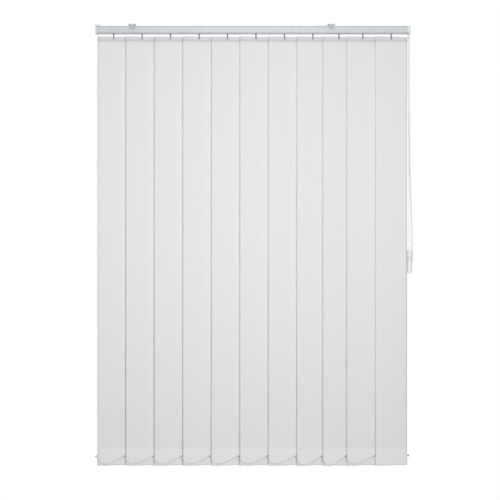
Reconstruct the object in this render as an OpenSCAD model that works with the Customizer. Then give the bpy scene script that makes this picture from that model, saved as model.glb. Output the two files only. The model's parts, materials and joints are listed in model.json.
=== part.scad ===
// Vertical blind with eleven hanging vanes on a ceiling-fixed headrail.
// X runs along the rail, the room is towards -Y, Z is up.
// The origin lies on the ceiling, midway between the two bracket screws.

/* [Headrail] */
// Length of the headrail with both end caps
rail_len = 1220; // [1180:5:1300]
// Width across the clip lips, front to back
rail_w = 40; // [38:1:44]
// Height of the headrail
rail_h = 28; // [28:1:32]
// Wall of the extrusion
rail_wall = 1.3; // [1:0.1:1.8]
// Distance from the ceiling to the top of the rail
rail_drop = 8; // [7.5:0.5:12]
// How far the clip lips stand out from the rail's face
lip_out = 1.2; // [1:0.1:1.4]
// Height of the clip lips
lip_h = 1.6; // [1.4:0.1:2]
// Width of the slot that the stems pass through
slot_w = 14; // [13:0.5:16]

/* [Brackets] */
// Distance between the two bracket screws
bracket_gap = 772; // [700:2:820]
// Distance from the rail's left end to the left bracket screw
bracket_inset = 143; // [120:1:170]
// Width of the bracket plate along the rail
plate_w = 28; // [28:1:34]
// Thickness of the bracket sheet
plate_t = 1.2; // [1:0.1:1.5]
// Diameter of the screw hole
screw_d = 4.5; // [3.5:0.1:5]
// Height of the skirt along the plate's front
skirt_h = 4; // [3:0.5:5]
// Width of the tongue in front of the rail
tongue_w = 19; // [16:1:22]
// How far the tongue reaches below the top of the rail
tongue_drop = 12; // [10:1:16]
// Thickness of the swivelling lock lever
lever_t = 1.2; // [1:0.1:1.5]
// Reach of the lever's thumb tab from its rivet
lever_len = 24; // [20:1:28]

/* [End caps] */
// Thickness of the idle cap's outer flange
idle_flange = 5; // [4:0.5:8]
// Height of the idle cap's hump above the rail
hump_h = 5.5; // [4:0.5:7]
// Length of the hump's level part
hump_len = 13.5; // [10:0.5:18]
// Length of the control housing outside the rail
control_len = 10.4; // [10.2:0.1:14]
// Length of the plug inside the rail
plug_len = 20; // [16:1:24]

/* [Carriers] */
// Number of vanes
vanes = 11; // [10:1:12]
// Distance from the rail's left end to the first stem
first_stem = 70; // [68:1:90]
// Distance from the last stem to the rail's right end
last_stem = 73; // [73:1:90]
// How much the eighth gap falls short of the others
slack_8 = 9.5; // [0:0.5:12]
// How much the ninth gap falls short of the others
slack_9 = 17.5; // [0:0.5:20]
// Length of a carrier along the rail
truck_len = 20; // [18:1:24]
// Diameter of a running wheel
wheel_d = 6.4; // [6:0.2:7]
// Width of a running wheel
wheel_w = 2.6; // [2:0.1:3]
// Width of a spacer strip
strip_w = 3.4; // [3:0.1:3.6]
// Thickness of a spacer strip
strip_t = 0.6; // [0.4:0.1:0.7]

/* [Tilting gear] */
// Diameter of the tilt rod
rod_d = 6; // [5.4:0.1:6.2]
// Diameter of the stem where it turns in the carrier
stem_d = 7; // [6:0.1:7.4]
// Diameter of the gear at the head of the stem
gear_d = 8.2; // [8:0.1:8.4]
// Radius from the sprocket's axis to the chain's centre line
sprocket_r = 7.6; // [7:0.1:8]
// Diameter of the control chain's balls
chain_d = 4.5; // [4:0.1:4.8]
// Diameter of the idle pulley at the cord's centre line
pulley_d = 9; // [8:0.5:9]

/* [Vanes] */
// Width of a vane
vane_w = 127; // [124:0.5:127]
// Height of a vane
vane_h = 1662; // [1200:2:2200]
// Thickness of the vane's cloth
cloth_t = 0.5; // [0.4:0.05:0.6]
// Distance from the rail's bottom to the top of the vanes
vane_gap = 12; // [11:0.5:20]
// Angle of the closed vanes to the rail
closed_tilt = 12; // [10:1:20]
// Height of the top pocket
top_pocket_h = 17; // [16:1:20]
// Height of the bottom pocket up to its weld
bottom_pocket_h = 66; // [60:1:80]
// Thickness of the hanger plate in the top pocket
hanger_t = 1; // [0.8:0.1:1.2]

/* [Bottom weights] */
// Height of a bottom weight
weight_h = 38; // [34:1:42]
// Thickness of a bottom weight
weight_t = 2.4; // [2:0.1:2.6]
// How far the chain peg stands out from the vane's edge
peg_out = 6.5; // [6:0.5:9]
// Length of chain between two vanes
span_len = 132; // [126:1:140]
// Diameter of a bead of the bottom chains
bead_d = 3.2; // [2.8:0.1:3.4]
// Beads in one span of the bottom chains
span_beads = 12; // [9:1:14]

/* [Cords] */
// Diameter of the draw cord
cord_d = 1.8; // [1.4:0.1:2]
// Width of the cord weight
tassel_w = 19; // [18:0.5:20]
// Height of the cord weight
tassel_h = 94; // [80:1:110]
// Depth of the cord weight, front to back
tassel_d = 9; // [8:0.5:9]
// How far the cord weight's pin hangs below the rail
cord_drop = 875; // [600:5:1100]
// How far the control chain's loop hangs below the rail
loop_drop = 886; // [600:2:1100]

/* [Hidden] */
$fn = 32;

// Clearances
fit = 0.05; // running fit, radial
free = 0.3; // between pieces that move past each other
seat = 0.2; // between pieces that rest in each other
cut = 1; // how far a cutter reaches past a face

// Heights
rail_top = -rail_drop;
rail_bottom = rail_top - rail_h;
floor_z = rail_bottom + rail_wall; // the flanges that the wheels run on
ceiling_z = rail_top - rail_wall; // underside of the rail's top wall
vane_top = rail_bottom - vane_gap;
vane_bottom = vane_top - vane_h;

// Places along the rail
rail_x0 = -bracket_gap / 2 - bracket_inset;
rail_x1 = rail_x0 + rail_len;
extrusion_x0 = rail_x0 + idle_flange;
extrusion_x1 = rail_x1 - control_len;
function slack(i) = (i > 8 ? slack_8 : 0) + (i > 9 ? slack_9 : 0);
pitch = (rail_len - first_stem - last_stem + slack(vanes)) / (vanes - 1);
function stem_x(i) = rail_x0 + first_stem + pitch * (i - 1) - slack(i);

// Section of the rail
face_y = rail_w / 2 - lip_out;
inner_y = face_y - rail_wall;
edge_h = 1.5; // upturned edges of the slot

// Tilt rod, gear and cord lanes inside the carriers
rod_y = gear_d / 2 + rod_d / 2 + 1.4;
rod_z = rail_top - 13.5;
cord_y = -9.5;
lane_mid = rod_z - 1.5;
upper_z = lane_mid + pulley_d / 2;
lower_z = lane_mid - pulley_d / 2;

// Idle end, and the rivet of the lock lever
idle_x = extrusion_x0 + 17; // centre of the idle pulley
idle_plug_x = extrusion_x0 + plug_len + 8;
pivot_x = 7;
pivot_y = 7;
lever_z = -plate_t - free - lever_t;

// Carriers
truck_top = ceiling_z - 3.7;
truck_y = 12.5;
truck_bottom = floor_z + edge_h + 0.4;
wheel_z = floor_z + wheel_d / 2 + free;
neck_y = slot_w / 2 - 1.5;
lane_step = 6;
lane_w = strip_w + 2 * free;
shallow = strip_t + free;
hook_h = 1.4;
deep = shallow + hook_h + free;
strip_reach = pitch + truck_len / 2 + free;

// Stem and hook
stem_foot = vane_top + 0.8;
slot_top = vane_top - 4.5; // upper edge of the slot in the vane
nub_h = 2.6;
nub_w = 5;
leg_t = 1.2;
top_half = hanger_t / 2 + 0.15 + cloth_t; // half thickness of the top pocket
leg_y = top_half + free;
pinch_z = vane_top - top_pocket_h + 5; // the pocket's walls close in below this

// Bottom weight and chains
pocket_in = weight_t / 2 + seat;
pocket_half = pocket_in + cloth_t;
weight_z0 = vane_bottom + pocket_half - 0.5;
weight_z1 = weight_z0 + weight_h;
ear_h = 2.8;
peg_s = vane_w / 2 + peg_out;
peg_r = 0.9;
ring_r = 2.2;
ring_h = 2;
ring_z = weight_z1 - ear_h - free - ring_h;
chain_z = ring_z + ring_h / 2;
chain_bow = 2; // how far a span stands out from its lugs
thread_d = 1;
lug_r = ring_r + bead_d / 2 + thread_d / 2;
bead_in = bead_d / 2 - 0.5; // a thread ends this far from a bead's middle
ring_in = ring_r - 0.5;

// Control end
cap_wall = 1.2; // outer wall of the control housing
sprocket_half = 3.2;
chain_x = extrusion_x1 + 4;
cord_x1 = extrusion_x1 + 2.6;
cord_x2 = extrusion_x1 + 7.6;
bend_r = 4;
exit_z = rail_bottom - 0.6; // underside of the control housing

// Draw cord: a strand from each exit to the pin of the weight, and the turn round the pin
tassel_x = extrusion_x1 + 7.8;
pin_r = 4.4;
pin_z = exit_z - cord_drop;
tassel_top = pin_z + 39;
// Shares of a strand's drop and of its shift along the rail
strand = [
    [0, 0], [0.05, 0.02], [0.24, 0.18], [0.47, 0.45], [0.73, 0.76], [0.89, 0.96], [0.95, 1],
    [0.99, 1], [1, 1]
];
function strand_at(k, x0, x1) = [
    x0 + strand[k][1] * (x1 - x0), cord_y, exit_z - strand[k][0] * cord_drop
];
draw_points = concat(
    [for (k = [0:8]) strand_at(k, cord_x1, tassel_x - pin_r)],
    [for (a = [225:45:315]) [tassel_x + pin_r * cos(a), cord_y, pin_z + pin_r * sin(a)]],
    [for (k = [8:-1:0]) strand_at(k, cord_x2, tassel_x + pin_r)]
);

// Control chain's loop: places from the sprocket's axis, with shares of the drop for their height
loop = [
    [0, -sprocket_r, 0], [0.1, -7.4, 0.06], [1, -6.5, 0.241], [3.8, -5.5, 0.444],
    [7.6, -4.9, 0.636], [12.6, -4.5, 0.783], [16, -5.1, 0.895], [17.2, -5.9, 0.963],
    [17, -4.7, 0.983], [16.3, -0.5, 0.996], [15.4, 4.5, 1], [14.3, 9.5, 0.996],
    [13.4, 13.7, 0.983], [12.8, 14.9, 0.963], [11.8, 14.1, 0.895], [10, 12.5, 0.783],
    [6.8, 11.1, 0.636], [3.2, 9.9, 0.444], [0.8, 8.9, 0.241], [0.1, 8, 0.06],
    [0, sprocket_r, 0]
];
chain_points = [for (p = loop) [chain_x + p[0], rod_y + p[1], exit_z - p[2] * loop_drop]];

// Helpers

// A box between two corners
module block(a, b) {
    translate(a) cube(b - a);
}

// A round bar along X, from x0 to x1
module bar_x(x0, x1, y, z, d) {
    translate([x0, y, z]) rotate([0, 90, 0]) cylinder(d = d, h = x1 - x0);
}

// A round bar along Y, from y0 to y1
module bar_y(y0, y1, x, z, d) {
    translate([x, y0, z]) rotate([-90, 0, 0]) cylinder(d = d, h = y1 - y0);
}

// Extrude a Y-Z outline along X, from x0 to x1
module along_x(x0, x1) {
    translate([x0, 0, 0]) rotate([90, 0, 90]) linear_extrude(x1 - x0) children();
}

// Extrude an X-Z outline along Y, from y0 to y1
module along_y(y0, y1) {
    translate([0, y1, 0]) rotate([90, 0, 0]) linear_extrude(y1 - y0) children();
}

// Turn a piece from the rail's direction to the closed vane's
module at_vane(i) {
    translate([stem_x(i), 0, 0]) rotate([0, 0, closed_tilt]) children();
}

// Unit vectors and rings for a tube swept along a line of points
function unit(v) = v / norm(v);
function tangent(p, k) = unit(p[min(k + 1, len(p) - 1)] - p[max(k - 1, 0)]);
function side(t) = unit(cross(t, abs(t[0]) < 0.9 ? [1, 0, 0] : [0, 1, 0]));
function ring(c, t, r, n) = [
    for (a = [0:n - 1]) c + r * (cos(360 * a / n) * side(t) + sin(360 * a / n) * cross(t, side(t)))
];

// A point on the smooth curve through four points
function curve(a, b, c, d, u) = b + u * (c - a) / 2 + u * u * (a - 2.5 * b + 2 * c - d / 2)
    + u * u * u * ((b - c) * 1.5 + (d - a) / 2);
function smooth(p, n) = concat(
    [for (k = [0:len(p) - 2], j = [0:n - 1])
        curve(p[max(k - 1, 0)], p[k], p[k + 1], p[min(k + 2, len(p) - 1)], j / n)],
    [p[len(p) - 1]]
);

// A closed tube along a line of points
module tube(p, d, n) {
    m = len(p);
    points = [for (k = [0:m - 1]) each ring(p[k], tangent(p, k), d / 2, n)];
    walls = [for (k = [0:m - 2], a = [0:n - 1])
        [k * n + a, k * n + (a + 1) % n, (k + 1) * n + (a + 1) % n, (k + 1) * n + a]];
    first = [for (a = [n - 1:-1:0]) a];
    last = [for (a = [0:n - 1]) (m - 1) * n + a];
    polyhedron(concat(points), concat(walls, [first], [last]), convexity = 8);
}

// Headrail

module rail_outline() {
    difference() {
        union() {
            translate([-face_y, rail_bottom]) square([2 * face_y, rail_h]);
            for (z = [rail_top - lip_h / 2, rail_bottom + lip_h / 2]) {
                translate([-rail_w / 2 + lip_h / 2, z - lip_h / 2]) square([rail_w - lip_h, lip_h]);
                for (s = [-1, 1]) translate([s * (rail_w / 2 - lip_h / 2), z]) circle(d = lip_h);
            }
        }
        translate([-inner_y, floor_z]) square([2 * inner_y, ceiling_z - floor_z]);
        translate([-slot_w / 2, rail_bottom - cut]) square([slot_w, rail_wall + 2 * cut]);
    }
    for (s = [-1, 1]) {
        translate([s * (slot_w / 2 + rail_wall / 2) - rail_wall / 2, floor_z - rail_wall / 2])
            square([rail_wall, edge_h + rail_wall / 2]);
    }
}

module headrail() {
    color([0.80, 0.83, 0.84])
    along_x(extrusion_x0, extrusion_x1) rail_outline();
}

// End caps

// The plug that fills the rail's end, from x0 to x1
module plug(x0, x1) {
    block([x0, -inner_y + seat, floor_z + edge_h + seat], [x1, inner_y - seat, ceiling_z - seat]);
    for (s = [0, 1]) mirror([0, s, 0])
        block([x0, slot_w / 2 + rail_wall + seat, floor_z + seat], [x1, inner_y - seat, ceiling_z - 2]);
}

module control_end_cap() {
    pocket = sprocket_half + free;
    cavity_y0 = rod_y - sprocket_r - chain_d / 2 - 0.7;
    cavity_y1 = rod_y + sprocket_r + chain_d / 2 + 0.7;
    color([0.90, 0.91, 0.91])
    difference() {
        union() {
            along_x(extrusion_x1, rail_x1) control_outline();
            plug(extrusion_x1 - plug_len, extrusion_x1);
        }
        bar_x(chain_x - pocket, chain_x + pocket, rod_y, rod_z, cavity_y1 - cavity_y0);
        block([chain_x - pocket, cavity_y0, exit_z - cut], [chain_x + pocket, cavity_y1, rod_z]);
        bar_x(extrusion_x1 - plug_len - cut, chain_x, rod_y, rod_z, rod_d + 2 * fit);
        bar_x(chain_x, rail_x1 - cap_wall, rod_y, rod_z, rod_d + 2 * fit);
        for (z = [upper_z, lower_z]) {
            bar_x(extrusion_x1 - plug_len - cut, extrusion_x1, cord_y, z, cord_d + 1.4);
        }
        block([extrusion_x1 - 6, cord_y - 1.6, lower_z - 2],
              [rail_x1 - cap_wall, cord_y + 1.6, upper_z + 2]);
        for (x = [cord_x1, cord_x2]) {
            translate([x, cord_y, exit_z - cut]) cylinder(d = cord_d + 1.4, h = lower_z - exit_z);
        }
    }
}

module control_outline() {
    r = 2.5;
    translate([-rail_w / 2 + r, exit_z]) square([rail_w - 2 * r, rail_top - exit_z]);
    translate([-rail_w / 2, exit_z + r]) square([rail_w, rail_top - exit_z - 2 * r]);
    for (y = [-1, 1], z = [exit_z + r, rail_top - r]) {
        translate([y * (rail_w / 2 - r), z]) circle(r = r);
    }
}

module idle_end_cap() {
    flange_z0 = rail_bottom - 1.8;
    hump_z = rail_top + hump_h;
    plug_x1 = idle_plug_x;
    color([0.86, 0.87, 0.87])
    difference() {
        union() {
            along_y(-rail_w / 2, rail_w / 2) polygon([
                [rail_x0, flange_z0], [extrusion_x0, flange_z0], [extrusion_x0, rail_top],
                [rail_x0 + hump_len + 6, rail_top], [rail_x0 + hump_len + 6, rail_top + 0.6],
                [rail_x0 + hump_len, hump_z], [rail_x0 + 1.5, hump_z], [rail_x0, hump_z - 1.5]
            ]);
            plug(extrusion_x0, plug_x1);
        }
        block([idle_x - pulley_d / 2 - 2.4, cord_y - 2.7, lower_z - 2.4],
              [plug_x1 + cut, cord_y + 2.7, upper_z + 2.4]);
        bar_x(plug_x1 - 10.5, plug_x1 + cut, rod_y, rod_z, rod_d + 2 * fit);
    }
    color([0.86, 0.87, 0.87])
    bar_y(cord_y - 3.2, cord_y + 3.2, idle_x, lane_mid, 3);
}

module idle_pulley() {
    color([0.93, 0.93, 0.92])
    translate([idle_x, cord_y, lane_mid]) rotate([90, 0, 0])
    rotate_extrude($fn = 40) difference() {
        translate([1.5 + fit, -2.2]) square([pulley_d / 2 + 1.3 - 1.5 - fit, 4.4]);
        translate([pulley_d / 2, 0]) circle(r = cord_d / 2 + free);
        translate([pulley_d / 2, -cord_d / 2 - free]) square([3, cord_d + 2 * free]);
    }
}

// Brackets

// Plate, skirt and tongue of the bracket whose screw is at x = 0
module bracket() {
    plate_back = rail_w / 2 - 4;
    front = rail_w / 2 + seat + plate_t;
    barb_z = rail_top - lip_h - seat;
    color([0.62, 0.64, 0.65]) {
        difference() {
            block([-plate_w / 2, -front, -plate_t], [plate_w / 2, plate_back, 0]);
            translate([0, 0, -plate_t - cut]) cylinder(d = screw_d, h = plate_t + 2 * cut);
            for (s = [-1, 1]) translate([s * plate_w / 2, plate_back, -plate_t - cut])
                rotate([0, 0, 45]) cube([6, 6, 3 * plate_t + 3 * cut], center = true);
        }
        block([-plate_w / 2, -front, -skirt_h], [plate_w / 2, -front + plate_t, -plate_t]);
        along_y(-front, -front + plate_t) tongue_outline();
        block([-tongue_w / 2, -front + plate_t, barb_z - 1.2], [tongue_w / 2, -face_y - seat, barb_z]);
        pivot_pin();
    }
}

module tongue_outline() {
    r = 4;
    z0 = rail_top - tongue_drop;
    translate([-tongue_w / 2, z0 + r]) square([tongue_w, -skirt_h - z0 - r]);
    translate([-tongue_w / 2 + r, z0]) square([tongue_w - 2 * r, r]);
    for (s = [-1, 1]) translate([s * (tongue_w / 2 - r), z0 + r]) circle(r = r);
}

// Rivet that the lock lever turns on
module pivot_pin() {
    translate([pivot_x, pivot_y, lever_z - free]) cylinder(d = 4, h = -plate_t - lever_z + free);
    translate([pivot_x, pivot_y, lever_z - free - 1]) cylinder(d = 7, h = 1);
}

// Lever under the plate, its hook behind the rail's rear lip
module lock_lever() {
    hook_y = rail_w / 2 + seat;
    hook_z = rail_top - lip_h - seat - 1.2;
    color([0.50, 0.52, 0.53])
    difference() {
        union() {
            translate([pivot_x, pivot_y, lever_z]) linear_extrude(lever_t) lever_outline();
            block([-7, hook_y, hook_z], [-1, hook_y + 1.2, lever_z]);
            block([-7, face_y + seat, hook_z], [-1, hook_y, hook_z + 1.2]);
        }
        translate([pivot_x, pivot_y, lever_z - cut]) cylinder(d = 4 + 2 * fit, h = lever_t + 2 * cut);
    }
}

// The lever's outline about its pivot: a round eye, an arm to the hook and a thumb tab
module lever_outline() {
    reach = rail_w / 2 + seat + 1.2 - pivot_y;
    circle(r = 4.6);
    polygon([[3, 3.4], [-8, reach], [-14, reach], [-14, 1], [-2, -2]]);
    polygon([[-14, 7], [-lever_len, 6.5], [-lever_len, 1.5], [-14, 1]]);
    translate([-lever_len, 4]) circle(r = 2.5);
}

// Tilting gear

module tilt_rod() {
    x0 = idle_plug_x - 10;
    turned_x = extrusion_x1 - plug_len - 4;
    color([0.72, 0.74, 0.75]) {
        along_x(x0, turned_x) translate([rod_y, rod_z]) rod_outline();
        bar_x(turned_x, rail_x1 - cap_wall - free, rod_y, rod_z, rod_d);
    }
}

// Round rod with three grooves along it
module rod_outline() {
    difference() {
        circle(d = rod_d);
        for (a = [90, 210, 330]) rotate(a) translate([rod_d / 2, 0]) circle(r = 0.8);
    }
}

module sprocket() {
    bore_r = (rod_d + fit) / 2;
    hub_r = sprocket_r - chain_d / 2 - free;
    groove = chain_d / 2 + free;
    color([0.93, 0.93, 0.92])
    translate([chain_x, rod_y, rod_z]) rotate([0, 90, 0])
    rotate_extrude($fn = 48) difference() {
        translate([bore_r, -sprocket_half])
            square([sprocket_r + 1.4 - bore_r, 2 * sprocket_half]);
        translate([hub_r, -groove]) square([sprocket_r, 2 * groove]);
    }
}

// Carriers

// Offset of a spacer strip's lane across the rail
function lane_y(i) = lane_step * ((i % 4) - 1.5);

module carrier(i) {
    half = truck_len / 2;
    translate([stem_x(i), 0, 0]) {
        color([0.92, 0.92, 0.90])
        difference() {
            union() {
                block([-half, -truck_y, truck_bottom], [half, truck_y, truck_top]);
                translate([0, 0, rail_bottom + 0.3]) cylinder(r = neck_y, h = truck_bottom - rail_bottom);
                for (x = [-half + wheel_d / 2 + 0.6, half - wheel_d / 2 - 0.6], s = [0, 1])
                    mirror([0, s, 0]) wheel(x);
            }
            for (j = [1:3]) lane_cut(i + j, j == 1 ? shallow : deep);
            bar_x(-half - cut, half + cut, rod_y, rod_z, rod_d + 1.2);
            for (z = [upper_z, lower_z]) bar_x(-half - cut, half + cut, cord_y, z, cord_d + 1.4);
            translate([0, 0, rod_z - 2.5]) cylinder(d = gear_d + 4 * fit, h = 5);
            translate([0, 0, rail_bottom - cut]) cylinder(d = stem_d + 2 * fit, h = rod_z - rail_bottom);
            truck_reliefs(half);
        }
        if (i > 1) spacer_strip(i);
    }
}

// Groove across the top of a carrier for the strip of carrier k
module lane_cut(k, depth) {
    block([-truck_len, lane_y(k) - lane_w / 2, truck_top - depth],
          [truck_len, lane_y(k) + lane_w / 2, truck_top + cut]);
}

// Wheel and its axle on the +Y side of a carrier
module wheel(x) {
    bar_y(truck_y - 0.5, truck_y + 1.2 + wheel_w, x, wheel_z, 2.4);
    bar_y(truck_y + 1.1, truck_y + 1.1 + wheel_w, x, wheel_z, wheel_d);
}

// Shallow panels in the carrier's long sides and a chamfer along its ends
module truck_reliefs(half) {
    for (s = [0, 1]) mirror([0, s, 0]) {
        block([-half + 3, truck_y - 0.6, rod_z - 2], [half - 3, truck_y + cut, truck_top - deep - 1]);
    }
}

// Strip fixed in its own carrier, its hook past the far side of the one before
module spacer_strip(i) {
    z1 = truck_top;
    color([0.78, 0.80, 0.81]) {
        block([-strip_reach - strip_t, lane_y(i) - strip_w / 2, z1 - strip_t],
              [-truck_len / 2, lane_y(i) + strip_w / 2, z1]);
        block([-strip_reach - strip_t, lane_y(i) - strip_w / 2, z1 - strip_t - hook_h],
              [-strip_reach, lane_y(i) + strip_w / 2, z1 - strip_t]);
    }
}

// Hangers

module hanger(i) {
    at_vane(i) {
        color([0.33, 0.34, 0.36]) stem();
        color([0.88, 0.90, 0.92]) hanger_plate();
    }
}

// Turning stem with its gear, and the hook that goes through the vane
module stem() {
    gear_z0 = rod_z - 2.3;
    collar_z = rail_bottom;
    translate([0, 0, gear_z0]) cylinder(d = gear_d, h = 4.6);
    translate([0, 0, collar_z]) cylinder(d = stem_d, h = gear_z0 - collar_z);
    translate([0, 0, collar_z - 8]) cylinder(r1 = 1.9, r2 = 4, h = 8);
    translate([0, 0, stem_foot + 1]) cylinder(r = 1.9, h = collar_z - 8 - stem_foot - 1);
    block([-nub_w / 2, -leg_y - leg_t, stem_foot], [nub_w / 2, leg_y + leg_t, stem_foot + 2.2]);
    block([-nub_w / 2, -leg_y - leg_t, slot_top - 5.4], [nub_w / 2, -leg_y, stem_foot]);
    block([-nub_w / 2, leg_y, slot_top - 0.4], [nub_w / 2, leg_y + leg_t, stem_foot]);
    block([-nub_w / 2, -leg_y, slot_top - nub_h], [nub_w / 2, leg_y - free, slot_top - seat]);
}

// Stiff plate inside the vane's top pocket
module hanger_plate() {
    along_y(-hanger_t / 2, hanger_t / 2) difference() {
        plate_outline(vane_w - 10, pinch_z + seat, vane_top - cloth_t - seat, 3);
        slot_outline();
    }
}

// Round-cornered X-Z rectangle, w wide, from z0 to z1
module plate_outline(w, z0, z1, r) {
    translate([-w / 2 + r, z0]) square([w - 2 * r, z1 - z0]);
    translate([-w / 2, z0 + r]) square([w, z1 - z0 - 2 * r]);
    for (x = [-1, 1], z = [z0 + r, z1 - r]) translate([x * (w / 2 - r), z]) circle(r = r);
}

// Slot that the hook's nub passes through
module slot_outline() {
    translate([-nub_w / 2 - free, slot_top - nub_h - 1.5]) square([nub_w + 2 * free, nub_h + 1.5]);
}

// Slats

// Points down one face of the slat: half thickness and height, from the top to the bottom
function slat_side() = concat(
    [for (a = [90:-30:0]) [top_half * cos(a), vane_top - top_half + top_half * sin(a)]],
    [[top_half, pinch_z], [cloth_t / 2, vane_top - top_pocket_h],
     [cloth_t / 2, vane_bottom + bottom_pocket_h], [pocket_half * 0.6, vane_bottom + bottom_pocket_h - 16],
     [pocket_half, weight_z1 + 3]],
    [for (a = [0:-30:-90]) [pocket_half * cos(a), vane_bottom + pocket_half + pocket_half * sin(a)]]
);

function flip(p) = [for (k = [len(p) - 1:-1:0]) [-p[k][0], p[k][1]]];

module slat_outline() {
    difference() {
        polygon(concat(slat_side(), flip(slat_side())));
        polygon([
            [-top_half + cloth_t, vane_top - cloth_t], [top_half - cloth_t, vane_top - cloth_t],
            [top_half - cloth_t, pinch_z], [0, pinch_z - 3.5], [-top_half + cloth_t, pinch_z]
        ]);
        polygon(concat(
            [for (a = [180:30:360]) [pocket_in * cos(a), vane_bottom + pocket_half + pocket_in * sin(a)]],
            [[pocket_in, weight_z1 + 3], [pocket_in * 0.4, vane_bottom + bottom_pocket_h - 16],
             [0, vane_bottom + bottom_pocket_h - 3],
             [-pocket_in * 0.4, vane_bottom + bottom_pocket_h - 16], [-pocket_in, weight_z1 + 3]]
        ));
    }
}

module slat(i) {
    color([0.90, 0.90, 0.90])
    at_vane(i) difference() {
        along_x(-vane_w / 2, vane_w / 2) slat_outline();
        along_y(-top_half - cut, top_half + cut) slot_outline();
    }
}

// Bottom weights

module weight(i) {
    color([0.86, 0.87, 0.87])
    at_vane(i) {
        along_y(-weight_t / 2, weight_t / 2)
            plate_outline(vane_w - 6, weight_z0, weight_z1, 2.5);
        for (s = [0, 1]) mirror([s, 0, 0]) ear();
    }
}

// Ear beyond the vane's edge, with the peg that holds a chain's ring
module ear() {
    peg_z0 = ring_z - free;
    block([vane_w / 2 - 6, -weight_t / 2, weight_z1 - ear_h], [peg_s, weight_t / 2, weight_z1]);
    translate([peg_s, 0, weight_z1 - ear_h]) cylinder(d = weight_t, h = ear_h);
    translate([peg_s, 0, peg_z0]) cylinder(r = peg_r, h = weight_z1 - ear_h - peg_z0);
    translate([peg_s, 0, peg_z0 - 0.6]) cylinder(r = peg_r + 0.7, h = 0.6);
}

// Bottom chains

// Place of a chain ring, on the left or the right of vane i
function ring_at(i, s) = [
    stem_x(i) + s * peg_s * cos(closed_tilt), s * peg_s * sin(closed_tilt), chain_z
];
// First or last bead of a span, beside the ring of vane i
function lug(i, s, way) = ring_at(i, s) + lug_r * unit([way, s, 0]);
function sag(gap) = sqrt(0.375 * gap * (span_len - 2 * lug_r - gap));

// A point of the chain between two lugs, u from 0 to 1, bowed away from the vanes
function hang(a, gap, s, u) = a + [
    gap * u, s * chain_bow * sin(180 * sqrt(u)), -4 * sag(gap) * pow(u, 0.75) * (1 - pow(u, 0.75))
];

// Points at equal steps along one span
function line(a, gap, s) = [for (k = [0:40]) hang(a, gap, s, k / 40)];
function lengths(p, k = 0, sum = 0) = k == len(p) - 1 ? [sum]
    : concat([sum], lengths(p, k + 1, sum + norm(p[k + 1] - p[k])));
function even(a, gap, s, n) = let(
    l = lengths(line(a, gap, s)),
    table = [for (k = [0:40]) [l[k], k / 40]]
) [for (k = [0:n]) hang(a, gap, s, lookup(l[40] * k / n, table))];

module chain(s) {
    color([0.93, 0.93, 0.92]) {
        for (i = [1:vanes]) translate(ring_at(i, s) - [0, 0, ring_h / 2]) difference() {
            cylinder(r = ring_r, h = ring_h);
            translate([0, 0, -cut]) cylinder(r = peg_r + free, h = ring_h + 2 * cut);
        }
        for (i = [1:vanes - 1]) {
            a = lug(i, s, 1);
            b = lug(i + 1, s, -1);
            thread(ring_at(i, s), a, ring_in, bead_in);
            beads(even(a, b[0] - a[0], s, span_beads - 1));
            thread(b, ring_at(i + 1, s), bead_in, ring_in);
        }
    }
}

// Straight thread from ra past a to rb short of b
module thread(a, b, ra, rb) {
    v = unit(b - a);
    translate(a + ra * v) rotate([0, acos(v[2]), atan2(v[1], v[0])])
        cylinder(d = thread_d, h = norm(b - a) - ra - rb, $fn = 16);
}

// Beads on a thread, each with its poles across the thread
module beads(p) {
    for (k = [0:len(p) - 1]) {
        v = tangent(p, k);
        translate(p[k])
            rotate([0, 90, atan2(-v[0], v[1])])
            rotate([0, 0, atan2(v[2], norm([v[0], v[1]])) + 180])
            sphere(d = bead_d);
        if (k > 0) thread(p[k - 1], p[k], bead_in, bead_in);
    }
}

module front_chain() {
    chain(-1);
}

module back_chain() {
    chain(1);
}

// Cords

// Runs of the draw cord inside the rail and the control chain's turn over its sprocket
module cords_in_rail() {
    color([0.93, 0.93, 0.91]) {
        bar_x(idle_x, cord_x2 - bend_r, cord_y, upper_z, cord_d);
        bar_x(idle_x, cord_x1 - bend_r, cord_y, lower_z, cord_d);
        translate([idle_x, cord_y, lane_mid]) rotate([90, 90, 0])
            rotate_extrude(angle = 180) translate([-pulley_d / 2, 0]) circle(d = cord_d);
        turn_down(cord_x2, upper_z);
        turn_down(cord_x1, lower_z);
        translate([chain_x, rod_y, rod_z]) rotate([90, 0, 90])
            rotate_extrude(angle = 180) translate([sprocket_r, 0]) circle(d = chain_d);
        for (s = [-1, 1]) translate([chain_x, rod_y + s * sprocket_r, exit_z])
            cylinder(d = chain_d, h = rod_z - exit_z);
    }
}

// Quarter turn from a run at height z down to the exit at x
module turn_down(x, z) {
    translate([x - bend_r, cord_y, z - bend_r]) rotate([90, 0, 0])
        rotate_extrude(angle = 90) translate([bend_r, 0]) circle(d = cord_d);
    translate([x, cord_y, exit_z]) cylinder(d = cord_d, h = z - bend_r - exit_z);
}

module draw_cord() {
    color([0.93, 0.93, 0.91]) tube(smooth(draw_points, 2), cord_d, 8);
}

module control_chain() {
    color([0.93, 0.93, 0.92]) tube(smooth(chain_points, 3), chain_d, 8);
}

// Cord weight

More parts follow.
